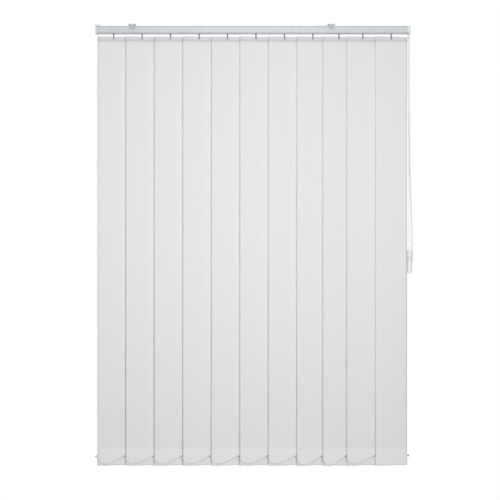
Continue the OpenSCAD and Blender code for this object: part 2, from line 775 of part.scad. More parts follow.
module cord_weight() {
    half = tassel_w / 2;
    top = tassel_top;
    lobe_r = half - pin_r;
    bottom = top - tassel_h;
    color([0.92, 0.92, 0.91])
    translate([tassel_x, cord_y, 0]) difference() {
        intersection() {
            along_y(-tassel_d / 2, tassel_d / 2) tassel_outline(half, top, bottom, lobe_r);
            union() {
                for (s = [-1, 1]) translate([s * (half - tassel_d / 2), 0, bottom - cut])
                    cylinder(d = tassel_d, h = tassel_h + 2 * cut);
                block([-half + tassel_d / 2, -tassel_d / 2, bottom - cut],
                      [half - tassel_d / 2, tassel_d / 2, top + cut]);
            }
        }
        for (s = [-1, 1]) translate([s * pin_r, 0, pin_z]) cylinder(d = cord_d + 0.8, h = top - pin_z + cut);
        difference() {
            along_y(-tassel_d / 2 - cut, 2) window_outline();
            bar_y(-2, 3, 0, pin_z, 2 * pin_r - cord_d - 2 * free);
        }
    }
}

// Front of the cord weight: two lobes above, a round end below
module tassel_outline(half, top, bottom, lobe_r) {
    translate([-half, bottom + half]) square([tassel_w, tassel_h - half - lobe_r]);
    translate([0, bottom + half]) circle(r = half);
    for (s = [-1, 1]) translate([s * (half - lobe_r), top - lobe_r]) circle(r = lobe_r);
}

// Window in front of the pin that the cord turns on
module window_outline() {
    w = 2 * pin_r + cord_d + 1.2;
    translate([-w / 2, pin_z - 1]) square([w, 9]);
    translate([0, pin_z - 1]) circle(d = w);
    translate([0, pin_z + 8]) circle(d = w);
}

headrail();
control_end_cap();
idle_end_cap();
translate([-bracket_gap / 2, 0, 0]) bracket();  // left_bracket
translate([bracket_gap / 2, 0, 0]) bracket();  // right_bracket
translate([-bracket_gap / 2, 0, 0]) lock_lever();  // left_lock_lever
translate([bracket_gap / 2, 0, 0]) lock_lever();  // right_lock_lever
tilt_rod();
sprocket();
idle_pulley();
cords_in_rail();
draw_cord();
control_chain();
cord_weight();
front_chain();
back_chain();
for (i = [1:vanes]) {
    carrier(i);
    hanger(i);
    slat(i);
    weight(i);
}
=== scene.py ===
# %% [markdown]
# # A vertical blind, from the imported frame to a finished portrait
#
# The blind hangs from a ceiling rail. Eleven cloth vanes are carried by small trucks inside the
# rail, a ball chain turns them, a cord draws them aside, and two bead chains keep their feet
# apart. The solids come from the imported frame. This file gives them their finishes, and models
# again what a solid can't show: folded cloth, beads on a thread and braided cord.

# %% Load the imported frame
import json
import math

import bmesh
import bpy
from mathutils import Matrix, Vector


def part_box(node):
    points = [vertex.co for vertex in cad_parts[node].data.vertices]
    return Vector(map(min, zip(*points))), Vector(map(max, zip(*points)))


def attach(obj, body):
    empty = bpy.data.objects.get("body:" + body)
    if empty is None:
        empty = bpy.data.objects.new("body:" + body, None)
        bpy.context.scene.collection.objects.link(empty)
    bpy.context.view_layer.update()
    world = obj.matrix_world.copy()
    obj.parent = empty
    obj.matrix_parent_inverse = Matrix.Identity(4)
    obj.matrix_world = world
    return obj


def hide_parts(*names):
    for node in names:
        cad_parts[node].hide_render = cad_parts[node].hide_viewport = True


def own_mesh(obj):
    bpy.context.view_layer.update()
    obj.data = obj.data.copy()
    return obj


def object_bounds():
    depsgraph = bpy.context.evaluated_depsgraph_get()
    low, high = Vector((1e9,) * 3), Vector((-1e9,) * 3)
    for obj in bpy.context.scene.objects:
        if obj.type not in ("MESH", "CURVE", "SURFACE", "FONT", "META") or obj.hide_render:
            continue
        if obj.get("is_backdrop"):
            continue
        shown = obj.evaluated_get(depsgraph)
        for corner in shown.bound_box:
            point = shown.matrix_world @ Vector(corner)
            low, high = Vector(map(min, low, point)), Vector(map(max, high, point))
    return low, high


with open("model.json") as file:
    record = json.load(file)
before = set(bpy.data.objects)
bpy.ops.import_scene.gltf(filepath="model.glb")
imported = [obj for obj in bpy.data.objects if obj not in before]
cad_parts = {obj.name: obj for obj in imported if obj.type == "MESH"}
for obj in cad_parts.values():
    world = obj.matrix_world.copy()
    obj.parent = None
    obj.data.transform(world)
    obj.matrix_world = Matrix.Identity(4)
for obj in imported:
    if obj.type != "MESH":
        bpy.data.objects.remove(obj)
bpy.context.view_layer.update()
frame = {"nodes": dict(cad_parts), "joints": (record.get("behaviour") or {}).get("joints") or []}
nodes = frame["nodes"]
MM = 0.001
VANES = 11

# %% [markdown]
# ## The camera
#
# The portrait was taken from straight in front, at about half the blind's height, with a long
# lens: the rail's ends show no perspective. So the camera looks along +Y with no tilt and no
# shift, and its distance follows from two numbers, the size of a pixel on the rail's face and the
# focal length in pixels. The middle of the picture lies at (0.070, -0.875) in X and Z.

# %% Place the camera
PIXEL = 3.869 * MM  # one pixel of the picture, measured on the rail's face
FOCAL_PIXELS = 1850
PICTURE_PIXELS = 500
RAIL_FACE_Y = -20 * MM
MIDDLE_X, MIDDLE_Z = 0.0699, -0.8747
camera = bpy.data.objects.new("portrait_camera", bpy.data.cameras.new("portrait_camera"))
bpy.context.scene.collection.objects.link(camera)
camera.data.sensor_width = 36
camera.data.lens = camera.data.sensor_width * FOCAL_PIXELS / PICTURE_PIXELS
camera.data.clip_end = 60
camera.location = (MIDDLE_X, RAIL_FACE_Y - FOCAL_PIXELS * PIXEL, MIDDLE_Z)
camera.rotation_euler = (math.radians(90), 0, 0)
bpy.context.scene.camera = camera
print("camera", [round(v, 3) for v in camera.location], "lens", round(camera.data.lens, 1))

# %% [markdown]
# ## Small helpers
#
# Each finished piece is one mesh whose object stays at the origin, so a pattern on object
# coordinates never slides. The first helper turns a bmesh into such an object and lets it ride on
# one of the frame's bodies.


# %% From bmesh to a piece on a body
def make_piece(name, bm, body, finish, smooth=40):
    """An object on a body. Edges of more than smooth degrees stay sharp in its shading."""
    mesh = bpy.data.meshes.new(name)
    bm.to_mesh(mesh)
    bm.free()
    piece = bpy.data.objects.new(name, mesh)
    bpy.context.scene.collection.objects.link(piece)
    mesh.materials.clear()
    for material in finish if isinstance(finish, list) else [finish]:
        mesh.materials.append(material)
    mesh.shade_smooth()
    mesh.set_sharp_from_angle(angle=math.radians(smooth))
    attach(piece, body)
    return piece


# %% [markdown]
# Chains and cords follow a line of points. The next helpers smooth such a line the way the solid
# model does, measure it, set points on it at equal steps for beads, and add points where they
# stand too far apart to follow a bend.


# %% Lines of points
def smooth_line(points, parts):
    """Points on a Catmull-Rom curve through the given ones, with parts steps in each span."""
    points = [Vector(p) for p in points]
    last = len(points) - 1
    line = []
    for k in range(last):
        a, b, c, d = points[max(k - 1, 0)], points[k], points[k + 1], points[min(k + 2, last)]
        for j in range(parts):
            u = j / parts
            line.append(
                b + u * (c - a) / 2 + u * u * (a - 2.5 * b + 2 * c - d / 2)
                + u**3 * ((b - c) * 1.5 + (d - a) / 2)
            )
    return line + [points[last]]


def line_length(line):
    return sum((b - a).length for a, b in zip(line, line[1:]))


def even_points(line, steps):
    """Points at equal steps along a line, its two ends included."""
    step = line_length(line) / steps
    points, covered, k = [line[0]], 0.0, 0
    for n in range(1, steps):
        while covered + (line[k + 1] - line[k]).length < n * step:
            covered += (line[k + 1] - line[k]).length
            k += 1
        along = (n * step - covered) / (line[k + 1] - line[k]).length
        points.append(line[k].lerp(line[k + 1], along))
    return points + [line[-1]]


def close_points(line, gap):
    """The same line with points added, so that each is within gap of the next."""
    dense = [line[0]]
    for a, b in zip(line, line[1:]):
        parts = max(1, math.ceil((b - a).length / gap))
        dense += [a.lerp(b, k / parts) for k in range(1, parts + 1)]
    return dense


# %% Threads and beads
def add_thread(bm, line, radius):
    """A thin round thread along a line, made by a bevelled curve and added to the bmesh."""
    curve = bpy.data.curves.new("thread", "CURVE")
    curve.dimensions = "3D"
    curve.bevel_depth = radius
    curve.bevel_resolution = 1
    curve.use_fill_caps = True
    spline = curve.splines.new("POLY")
    spline.points.add(len(line) - 1)
    for point, place in zip(spline.points, line):
        point.co = (*place, 1)
    carrier = bpy.data.objects.new("thread", curve)
    mesh = bpy.data.meshes.new_from_object(carrier)
    bm.from_mesh(mesh)
    bpy.data.objects.remove(carrier)
    bpy.data.curves.remove(curve)
    bpy.data.meshes.remove(mesh)


def add_beads(bm, places, diameter):
    for place in places:
        bmesh.ops.create_icosphere(
            bm, subdivisions=2, radius=diameter / 2, matrix=Matrix.Translation(place)
        )


# %% [markdown]
# ## Finishes
#
# The whole blind is pale, so its finishes differ in small ways: how rough they are, how their
# surface is broken up, and how warm or cool the white is. Each helper starts from the principled
# shader. What is the same all over a surface is set on the shader itself, and only what varies
# comes from textures.


# %% Start a finish
def start_finish(name, colour, roughness, metallic=0.0):
    finish = bpy.data.materials.new(name)
    finish.use_nodes = True
    tree = finish.node_tree
    shader = tree.nodes["Principled BSDF"]
    shader.inputs["Base Color"].default_value = (*colour, 1)
    shader.inputs["Roughness"].default_value = roughness
    shader.inputs["Metallic"].default_value = metallic
    return finish, tree, shader


def place_on_object(tree, scale=(1, 1, 1), turn=0.0):
    """Object coordinates in metres, turned about Z and scaled."""
    where = tree.nodes.new("ShaderNodeTexCoord")
    mapping = tree.nodes.new("ShaderNodeMapping")
    mapping.inputs["Rotation"].default_value = (0, 0, math.radians(turn))
    mapping.inputs["Scale"].default_value = scale
    tree.links.new(where.outputs["Object"], mapping.inputs["Vector"])
    return mapping.outputs["Vector"]


def noise(tree, vector, scale, detail=3.0):
    texture = tree.nodes.new("ShaderNodeTexNoise")
    texture.inputs["Scale"].default_value = scale
    texture.inputs["Detail"].default_value = detail
    tree.links.new(vector, texture.inputs["Vector"])
    return texture.outputs["Fac"]


def ramp(tree, value, stops):
    """A colour ramp through (position, colour) stops."""
    node = tree.nodes.new("ShaderNodeValToRGB")
    node.color_ramp.elements[0].position = stops[0][0]
    node.color_ramp.elements[0].color = (*stops[0][1], 1)
    node.color_ramp.elements[1].position = stops[-1][0]
    node.color_ramp.elements[1].color = (*stops[-1][1], 1)
    for position, colour in stops[1:-1]:
        node.color_ramp.elements.new(position).color = (*colour, 1)
    tree.links.new(value, node.inputs["Fac"])
    return node.outputs["Color"]


def spread(tree, value, low, high):
    """Carries a value from 0..1 to low..high."""
    node = tree.nodes.new("ShaderNodeMapRange")
    node.inputs["To Min"].default_value = low
    node.inputs["To Max"].default_value = high
    tree.links.new(value, node.inputs["Value"])
    return node.outputs["Result"]


def times(tree, a, b):
    """Two colours, or a colour and a value, multiplied."""
    node = tree.nodes.new("ShaderNodeVectorMath")
    node.operation = "MULTIPLY"
    tree.links.new(a, node.inputs[0])
    tree.links.new(b, node.inputs[1])
    return node.outputs["Vector"]


def height_share(tree, low, high):
    """0 at the height low and 1 at the height high, in object coordinates."""
    where = tree.nodes.new("ShaderNodeTexCoord")
    split = tree.nodes.new("ShaderNodeSeparateXYZ")
    node = tree.nodes.new("ShaderNodeMapRange")
    node.inputs["From Min"].default_value = low
    node.inputs["From Max"].default_value = high
    tree.links.new(where.outputs["Object"], split.inputs["Vector"])
    tree.links.new(split.outputs["Z"], node.inputs["Value"])
    return node.outputs["Result"]


def add_bump(tree, shader, height, distance, strength):
    """Adds a height to the shader's bump, after any bump that is there already."""
    node = tree.nodes.new("ShaderNodeBump")
    node.inputs["Distance"].default_value = distance
    node.inputs["Strength"].default_value = strength
    tree.links.new(height, node.inputs["Height"])
    if shader.inputs["Normal"].links:
        tree.links.new(shader.inputs["Normal"].links[0].from_socket, node.inputs["Normal"])
    tree.links.new(node.outputs["Normal"], shader.inputs["Normal"])


# %% Moulded plastic and coated metal
def moulded(name, colour, roughness, grain=900, depth=0.02):
    """Plastic or powder coat: a faint cloud in its colour and a fine orange-peel grain."""
    finish, tree, shader = start_finish(name, colour, roughness)
    place = place_on_object(tree)
    cloud = noise(tree, place, 35)
    darker = tuple(c * 0.95 for c in colour)
    lighter = tuple(min(1, c * 1.03) for c in colour)
    tree.links.new(ramp(tree, cloud, [(0.3, darker), (0.7, lighter)]), shader.inputs["Base Color"])
    tree.links.new(
        spread(tree, noise(tree, place, 160), roughness - 0.06, roughness + 0.08),
        shader.inputs["Roughness"],
    )
    add_bump(tree, shader, noise(tree, place, grain), depth * MM, 0.5)
    return finish


cap_plastic = moulded("moulded_end_cap", (0.70, 0.72, 0.72), 0.42)
carrier_plastic = moulded("carrier_plastic", (0.78, 0.78, 0.76), 0.40)
stem_plastic = moulded("dark_stem_plastic", (0.24, 0.245, 0.255), 0.42)
plate_plastic = moulded("top_plate_plastic", (0.62, 0.65, 0.70), 0.30)
weight_plastic = moulded("bottom_weight_plastic", (0.34, 0.345, 0.35), 0.45)
link_plastic = moulded("link_bead_plastic", (0.64, 0.65, 0.66), 0.30)
ball_plastic = moulded("control_ball_plastic", (0.88, 0.88, 0.87), 0.26)
tassel_plastic = moulded("cord_weight_plastic", (0.66, 0.66, 0.65), 0.34)

# %% [markdown]
# The rail's coat is a single middle grey, and light and shade are painted over it. Its underside is
# painted lightest, as if lit from below, and painted shade makes a darker line along the top and
# the bottom of the face. So the base colour is the painted-light underside's, and a ramp over the
# rail's height multiplies it.

# %% The rail's coat, with painted light and shade
# Shares of the colour over the rail's height: 1 at the underside is painted light, 0.63 and 0.65
# are painted shade lines, and 0.755 is the face's own grey.
RAIL_LIGHT_AND_SHADE_SHARES = [
    (0, 1), (0.015, 1), (0.035, 0.63), (0.13, 0.63),
    (0.19, 0.755), (0.84, 0.755), (0.89, 0.65), (1, 0.65),
]
# The base colour is the underside's painted-light tone, which the ramp darkens everywhere else.
rail_coat_and_painted_shade = moulded("powder_coated_rail_painted_shade", (0.72, 0.76, 0.777), 0.38, 1400, 0.015)
rail_low, rail_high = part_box("headrail")
tree = rail_coat_and_painted_shade.node_tree
shader = tree.nodes["Principled BSDF"]
coat = shader.inputs["Base Color"].links[0].from_socket
rail_height = height_share(tree, rail_low.z, rail_high.z)
shade = ramp(tree, rail_height, [(place, (share,) * 3) for place, share in RAIL_LIGHT_AND_SHADE_SHARES])
tree.links.new(times(tree, coat, shade), shader.inputs["Base Color"])

# %% [markdown]
# Metal needs a direction. The rod is drawn along X and the clips are stamped from rolled strip,
# so their fine scratches are a noise that is stretched along the rail. The rod is bare. The clips
# have a dull coat over the steel, so only a quarter of their surface answers as metal.


# %% Drawn and rolled metal
def drawn_metal(name, colour, roughness, bare=1.0):
    finish, tree, shader = start_finish(name, colour, roughness, bare)
    lines = noise(tree, place_on_object(tree, (12, 900, 900)), 1.0, 4.0)
    cloud = noise(tree, place_on_object(tree), 60)
    darker = tuple(c * 0.86 for c in colour)
    tree.links.new(ramp(tree, cloud, [(0.25, darker), (0.7, colour)]), shader.inputs["Base Color"])
    tree.links.new(
        spread(tree, lines, roughness - 0.1, roughness + 0.14), shader.inputs["Roughness"]
    )
    add_bump(tree, shader, lines, 0.01 * MM, 0.4)
    return finish


clip_steel = drawn_metal("clip_steel", (0.38, 0.39, 0.395), 0.5, 0.25)
rod_metal = drawn_metal("drawn_rod", (0.74, 0.76, 0.77), 0.28)

# %% [markdown]
# ## The vanes' cloth
#
# The cloth is a coated plain weave. Two sets of fine waves cross at right angles for the threads,
# half a millimetre apart, and a noise drawn out along the height makes some threads a little
# lighter or darker. The vanes are turned by 12 degrees, so the pattern is turned with them. The
# tone changes where the cloth is double. The stiff plate makes the top pocket cooler and darker,
# with a pressed line at its weld; shade is painted just below that weld and along its upper edge.
# The foot pocket is a little lighter, with a soft step at its weld and painted shade at its hem.
#
# A colour ramp has only 256 steps, and a vane is 1.66 m high, so a narrow line on one long ramp
# would vanish. Each pocket therefore has a short zone with a ramp of its own, and the two ramps
# are multiplied.

# %% Sizes of a vane
TILT_DEGREES = 12
TILT = math.radians(TILT_DEGREES)
vane_low, vane_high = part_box("slat_1")
VANE_TOP, VANE_FOOT = vane_high.z, vane_low.z
VANE_WIDTH = 127 * MM
TOP_WELD = VANE_TOP - 17 * MM
FOOT_WELD = VANE_FOOT + 66 * MM
CLOTH = 0.5 * MM
stem_x = {}
for i in range(1, VANES + 1):
    low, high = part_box(f"slat_{i}")
    stem_x[i] = (low.x + high.x) / 2
print("vane from", round(VANE_TOP, 4), "to", round(VANE_FOOT, 4))
print("stems at", [round(x, 4) for x in stem_x.values()])


# %% Waves and sums
def waves(tree, vector, direction, scale, distortion):
    texture = tree.nodes.new("ShaderNodeTexWave")
    texture.bands_direction = direction
    texture.inputs["Scale"].default_value = scale
    texture.inputs["Distortion"].default_value = distortion
    texture.inputs["Detail Scale"].default_value = 2
    tree.links.new(vector, texture.inputs["Vector"])
    return texture.outputs["Fac"]


def combine(tree, a, b, operation="ADD"):
    node = tree.nodes.new("ShaderNodeMath")
    node.operation = operation
    tree.links.new(a, node.inputs[0])
    tree.links.new(b, node.inputs[1])
    return node.outputs["Value"]


# %% The cloth's finish, with painted shade at the hem and at the top pocket
FOOT_ZONE = 100 * MM  # from the foot up
TOP_ZONE = 34 * MM  # from the top down
vane_cloth, tree, shader = start_finish("vane_cloth", (0.79, 0.79, 0.79), 0.82)
shader.inputs["Sheen Weight"].default_value = 0.08
shader.inputs["Specular IOR Level"].default_value = 0.3
body_tone = (0.803, 0.797, 0.792)
foot_tone = (0.845, 0.842, 0.837)
# The hem's dark tone is painted shade along the folded foot edge.
painted_hem_shade = (0.70, 0.70, 0.70)
foot_zone = height_share(tree, VANE_FOOT, VANE_FOOT + FOOT_ZONE)
low_weld = (FOOT_WELD - VANE_FOOT) / FOOT_ZONE
lower = ramp(tree, foot_zone, [
    (0, painted_hem_shade), (0.02, painted_hem_shade), (0.04, foot_tone), (low_weld - 0.08, foot_tone),
    (low_weld + 0.08, body_tone), (1, body_tone),
])
plain = (1, 1, 1)
# Just below the top weld the colour fades into painted shade, where the cloth bends into the
# pocket.
painted_weld_shade = (0.88, 0.885, 0.90)
band = (0.88, 0.885, 0.92)
# This pressed tone marks the real weld line, and at the pocket's upper edge the same tone is
# painted shade.
pressed_weld_and_edge_shade = (0.745, 0.75, 0.775)
top_zone = height_share(tree, VANE_TOP - TOP_ZONE, VANE_TOP)
weld = (TOP_WELD - VANE_TOP + TOP_ZONE) / TOP_ZONE
upper = ramp(tree, top_zone, [
    (0, plain), (weld - 0.22, plain), (weld - 0.02, painted_weld_shade), (weld + 0.02, pressed_weld_and_edge_shade),
    (weld + 0.12, pressed_weld_and_edge_shade), (weld + 0.17, band), (0.94, band), (0.97, pressed_weld_and_edge_shade), (1, pressed_weld_and_edge_shade),
])
place = place_on_object(tree, turn=-TILT_DEGREES)
slow = noise(tree, place_on_object(tree, (30, 30, 1.6), -TILT_DEGREES), 12, 4.0)
slub = spread(tree, slow, 0.985, 1.015)
tree.links.new(times(tree, times(tree, lower, upper), slub), shader.inputs["Base Color"])
THREADS = 628  # wave scale of threads half a millimetre apart
across = waves(tree, place, "X", THREADS, 1.5)
along = waves(tree, place, "Z", THREADS, 1.5)
weave = combine(tree, across, along)
add_bump(tree, shader, weave, 0.05 * MM, 0.5)
add_bump(tree, shader, noise(tree, place, 55, 2.0), 0.25 * MM, 0.25)
print("cloth zones", FOOT_ZONE, TOP_ZONE)


# %% [markdown]
# ## Cutting and folding a vane
#
# A vane is one strip of cloth. Its ends are folded back and welded, which makes a pocket at the
# top for the stiff plate and one at the foot for the weight. The strip is drawn here from the
# side: a vertex walks along the middle of the cloth, and two small spins make the folds. The line
# is then extruded across the vane's width and gets its thickness from a Solidify modifier.


# %% The strip from the side
SLOT_TOP = VANE_TOP - 4.5 * MM  # the hook's slot in the top pocket
SLOT_FOOT = VANE_TOP - 8.6 * MM
SLOT_HALF = 2.8 * MM
TOP_TURN = VANE_TOP - 1.15 * MM  # heights that the two folds turn round
FOOT_TURN = VANE_FOOT + 1.9 * MM
TOP_HALF, FOOT_HALF = 0.9, 1.65  # from the vane's plane to the pockets' cloth, in millimetres


def walk(bm, vertex, places):
    """Extrudes a vertex through (y, z) places, with y in millimetres and z in metres."""
    for y, z in places:
        vertex = bmesh.ops.extrude_vert_indiv(bm, verts=[vertex])["verts"][0]
        vertex.co = Vector((vertex.co.x, y * MM, z))
    return vertex


def fold(bm, vertex, z, steps):
    """Half a turn round a line along X at height z."""
    turn = bmesh.ops.spin(
        bm, geom=[vertex], cent=(0, 0, z), axis=(1, 0, 0), angle=math.pi, steps=steps
    )
    return [g for g in turn["geom_last"] if isinstance(g, bmesh.types.BMVert)][0]


def strip_from_side(bm):
    seam = 0.5  # the loose end lies half a millimetre from the vane's plane
    pocket = [VANE_TOP - 12 * MM, SLOT_FOOT, SLOT_TOP, TOP_TURN]
    start = bm.verts.new((-VANE_WIDTH / 2, seam * MM, TOP_WELD - 2 * MM))
    end = walk(bm, start, [(seam, TOP_WELD), *[(TOP_HALF, z) for z in pocket]])
    end = fold(bm, end, TOP_TURN, 6)
    end = walk(bm, end, [(-TOP_HALF, z) for z in pocket[-2::-1]] + [(0, TOP_WELD)])
    rows = 44
    face = [TOP_WELD + (FOOT_WELD - TOP_WELD) * k / rows for k in range(1, rows + 1)]
    end = walk(bm, end, [(0, z) for z in face])
    bulge = [
        (1.0, VANE_FOOT + 50 * MM), (FOOT_HALF, VANE_FOOT + 42 * MM), (FOOT_HALF, FOOT_TURN),
    ]
    end = walk(bm, end, [(-y, z) for y, z in bulge])
    end = fold(bm, end, FOOT_TURN, 8)
    walk(bm, end, [*reversed(bulge[:-1]), (seam, FOOT_WELD), (seam, FOOT_WELD + 2 * MM)])


# %% [markdown]
# Cloth is never quite flat. Between its welds each vane gets a bow of just under a millimetre
# across its width and a slow ripple down its edges. The ripple starts at another place on each
# vane, so no two look alike, and it fades out at the pockets, where the plate and the weight hold
# the cloth flat.


# %% One vane
def cut_vane(i):
    bm = bmesh.new()
    strip_from_side(bm)
    # millimetres from the stem; the slot is cut between the two columns at 2.8
    columns = [-56, -46, -34, -22, -11, -2.8, 2.8, 11, 22, 34, 46, 56, 63.5]
    edges = bm.edges[:]
    for x in columns:
        made = bmesh.ops.extrude_edge_only(bm, edges=edges)["geom"]
        edges = [g for g in made if isinstance(g, bmesh.types.BMEdge)]
        for vertex in [g for g in made if isinstance(g, bmesh.types.BMVert)]:
            vertex.co.x = x * MM
    slot = [
        f for f in bm.faces
        if abs(f.calc_center_median().x) < SLOT_HALF
        and SLOT_FOOT < f.calc_center_median().z < SLOT_TOP
    ]
    bmesh.ops.delete(bm, geom=slot, context="FACES")
    for v in bm.verts:
        share = (v.co.z - FOOT_WELD) / (TOP_WELD - FOOT_WELD)
        if 0 < share < 1:
            across = v.co.x / (VANE_WIDTH / 2)
            free = math.sin(math.pi * share) ** 0.5
            bow = 0.9 * across * across - 0.3
            ripple = 0.7 * across * math.sin(2 * math.pi * (1.7 * share + 0.37 * i))
            ripple += 0.4 * abs(across) * math.sin(2 * math.pi * (3.9 * share + 0.61 * i))
            v.co.y += (bow + ripple) * free * MM
    bmesh.ops.recalc_face_normals(bm, faces=bm.faces)
    bmesh.ops.rotate(bm, verts=bm.verts, cent=(0, 0, 0), matrix=Matrix.Rotation(TILT, 3, "Z"))
    bmesh.ops.translate(bm, verts=bm.verts, vec=(stem_x[i], 0, 0))
    vane = make_piece(f"vane_{i}", bm, f"vane_{i}", vane_cloth, 60)
    thickness = vane.modifiers.new("cloth", "SOLIDIFY")
    thickness.thickness = CLOTH
    thickness.offset = 0
    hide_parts(f"slat_{i}")
    return vane


vanes = [cut_vane(i) for i in range(1, VANES + 1)]
print(len(vanes), "vanes,", len(vanes[0].data.polygons), "faces each before their thickness")

# %% [markdown]
# ## The bottom chains
#
# Two bead chains link the vanes' feet, one at the front edges and one at the back edges. Each
# weight ends in an ear with a peg, and a ring on the peg holds the chain. Between two rings the
# chain hangs in a slack bow that falls steeply at its left and rises slowly to its right, a little
# differently from span to span. The solid model has a plainer bow with twelve beads. Here the
# beads stand as close as the real ones, about six millimetres apart.

# %% Places of the rings
PEG = 70 * MM  # from the stem to a peg, along the vane
LUG = 4.3 * MM  # from a peg to the first bead
RING_Z = VANE_FOOT + 35.3 * MM
SPAN = 132 * MM  # length of chain between two pegs
STAND_OUT = 2 * MM  # how far a bow stands away from the vanes
STEPS = 48  # points along one bow


def ring_at(i, side):
    return Vector((
        stem_x[i] + side * PEG * math.cos(TILT), side * PEG * math.sin(TILT), RING_Z
    ))


def chain_line(i, side):
    """The slack bow from the ring of vane i to the next vane's ring."""
    a = ring_at(i, side) + LUG * Vector((1, side, 0)).normalized()
    b = ring_at(i + 1, side) + LUG * Vector((-1, side, 0)).normalized()
    gap = b.x - a.x
    sag = math.sqrt(0.375 * gap * (SPAN - 2 * LUG - gap))
    lean = 0.62 + 0.05 * math.sin(2.4 * i)  # below 1, so the lowest point is left of the middle
    line = []
    for k in range(STEPS + 1):
        u = k / STEPS
        down = sag * math.sin(math.pi * u**lean)
        out = STAND_OUT * math.sin(math.pi * math.sqrt(u))
        line.append(a + Vector((gap * u, side * out, -down)))
    return line


print("rings at", round(RING_Z, 4), "span", round(line_length(chain_line(1, -1)), 4))


# %% The two chains
LINKS = 20  # steps from bead to bead in one span
LINK = 3.2 * MM  # a bead's diameter
THREAD = 0.45 * MM  # the thread's radius
RING_SHARE = 0.42  # where the thread meets the ring, on the way from the peg to the first bead


def spacing_left():
    """How much of the stems' spacing is left when the vanes are drawn aside."""
    travel = next(j for j in frame["joints"] if j["name"] == "traverse_1")["range_m"][1]
    return 1 - travel / (stem_x[VANES] - stem_x[1])


def bottom_chain(name, side, node, body):
    bm = bmesh.new()
    for i in range(1, VANES):
        line = chain_line(i, side)
        first = ring_at(i, side).lerp(line[0], RING_SHARE)
        last = ring_at(i + 1, side).lerp(line[-1], RING_SHARE)
        add_thread(bm, [first, *line, last], THREAD)
        add_beads(bm, even_points(line, LINKS), LINK)
    chain = make_piece(name, bm, body, link_plastic)
    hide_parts(node)
    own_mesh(chain)
    return chain


front_beads = bottom_chain("front_bead_chain", -1, "front_chain", "front_links")
bottom_chain("back_bead_chain", 1, "back_chain", "back_links")
print("chain faces", len(front_beads.data.polygons), "spacing left", round(spacing_left(), 3))


# %% The rings on the pegs
RING_MIDDLE = 1.7 * MM  # radius of a ring at the middle of its wall
RING_WALL, RING_HEIGHT = 1 * MM, 2 * MM


def peg_rings(i):
    bm = bmesh.new()
    for side in (-1, 1):
        section = bmesh.ops.create_grid(bm, x_segments=1, y_segments=1, size=0.5)["verts"]
        bmesh.ops.scale(bm, verts=section, vec=(RING_WALL, RING_HEIGHT, 1))
        bmesh.ops.rotate(
            bm, verts=section, cent=(0, 0, 0), matrix=Matrix.Rotation(math.pi / 2, 3, "X")
        )
        bmesh.ops.translate(bm, verts=section, vec=ring_at(i, side) + Vector((RING_MIDDLE, 0, 0)))
        faces = list({f for v in section for f in v.link_faces})
        bmesh.ops.spin(
            bm, geom=faces, cent=ring_at(i, side), axis=(0, 0, 1), angle=2 * math.pi,
            steps=24, use_merge=True,
        )
        bmesh.ops.delete(bm, geom=[f for f in faces if f.is_valid], context="FACES_ONLY")
    bmesh.ops.remove_doubles(bm, verts=bm.verts, dist=0.01 * MM)
    bmesh.ops.recalc_face_normals(bm, faces=bm.faces)
    rings = make_piece(f"peg_rings_{i}", bm, f"vane_{i}", weight_plastic)
    edge = rings.modifiers.new("edge", "BEVEL")
    edge.width = 0.25 * MM
    edge.segments = 2
    return rings


rings = [peg_rings(i) for i in range(1, VANES + 1)]
print(len(rings), "pairs of rings")

# %% [markdown]
# ## Cord and control chain
#
# At the right end a thin cord comes down, turns round the pin of its weight and goes up again,
# and an endless ball chain hangs beside it. Both routes are the solid model's own points. The
# cord is a bevelled curve with a braided finish, and the chain is balls on a thread. The braid's
# pattern is the higher of two sets of waves that cross at a steep angle.

# %% The braid's finish
braid, tree, shader = start_finish("braided_cord", (0.86, 0.86, 0.85), 0.7)
shader.inputs["Sheen Weight"].default_value = 0.15
strands = []
for turn in (38, -38):
    where = tree.nodes.new("ShaderNodeTexCoord")
    mapping = tree.nodes.new("ShaderNodeMapping")
    mapping.inputs["Rotation"].default_value = (0, math.radians(turn), 0)
    tree.links.new(where.outputs["Object"], mapping.inputs["Vector"])
    strands.append(waves(tree, mapping.outputs["Vector"], "Z", 380, 0.4))
crossed = combine(tree, strands[0], strands[1], "MAXIMUM")
tree.links.new(
    ramp(tree, crossed, [(0.2, (0.74, 0.74, 0.73)), (0.8, (0.90, 0.90, 0.89))]),
    shader.inputs["Base Color"],
)
add_bump(tree, shader, crossed, 0.12 * MM, 0.8)

# %% The draw cord
CORD = 1.8 * MM
EXIT_Z = -36.6  # this and the other places of the two routes are in millimetres
CORD_Y, CORD_DROP = -9.5, 875
CORD_EXITS = (683.2, 688.2)
PIN_X, PIN_RADIUS = 688.4, 4.4  # the radius is the cord's own, round the weight's pin
STRAND = [
    (0, 0), (0.05, 0.02), (0.24, 0.18), (0.47, 0.45), (0.73, 0.76), (0.89, 0.96), (0.95, 1),
    (0.99, 1), (1, 1),
]


def strand_points(start, end):
    """One strand from its exit to the pin: shares of the drop, and of the way across."""
    return [
        (start + across * (end - start), CORD_Y, EXIT_Z - down * CORD_DROP)
        for down, across in STRAND
    ]


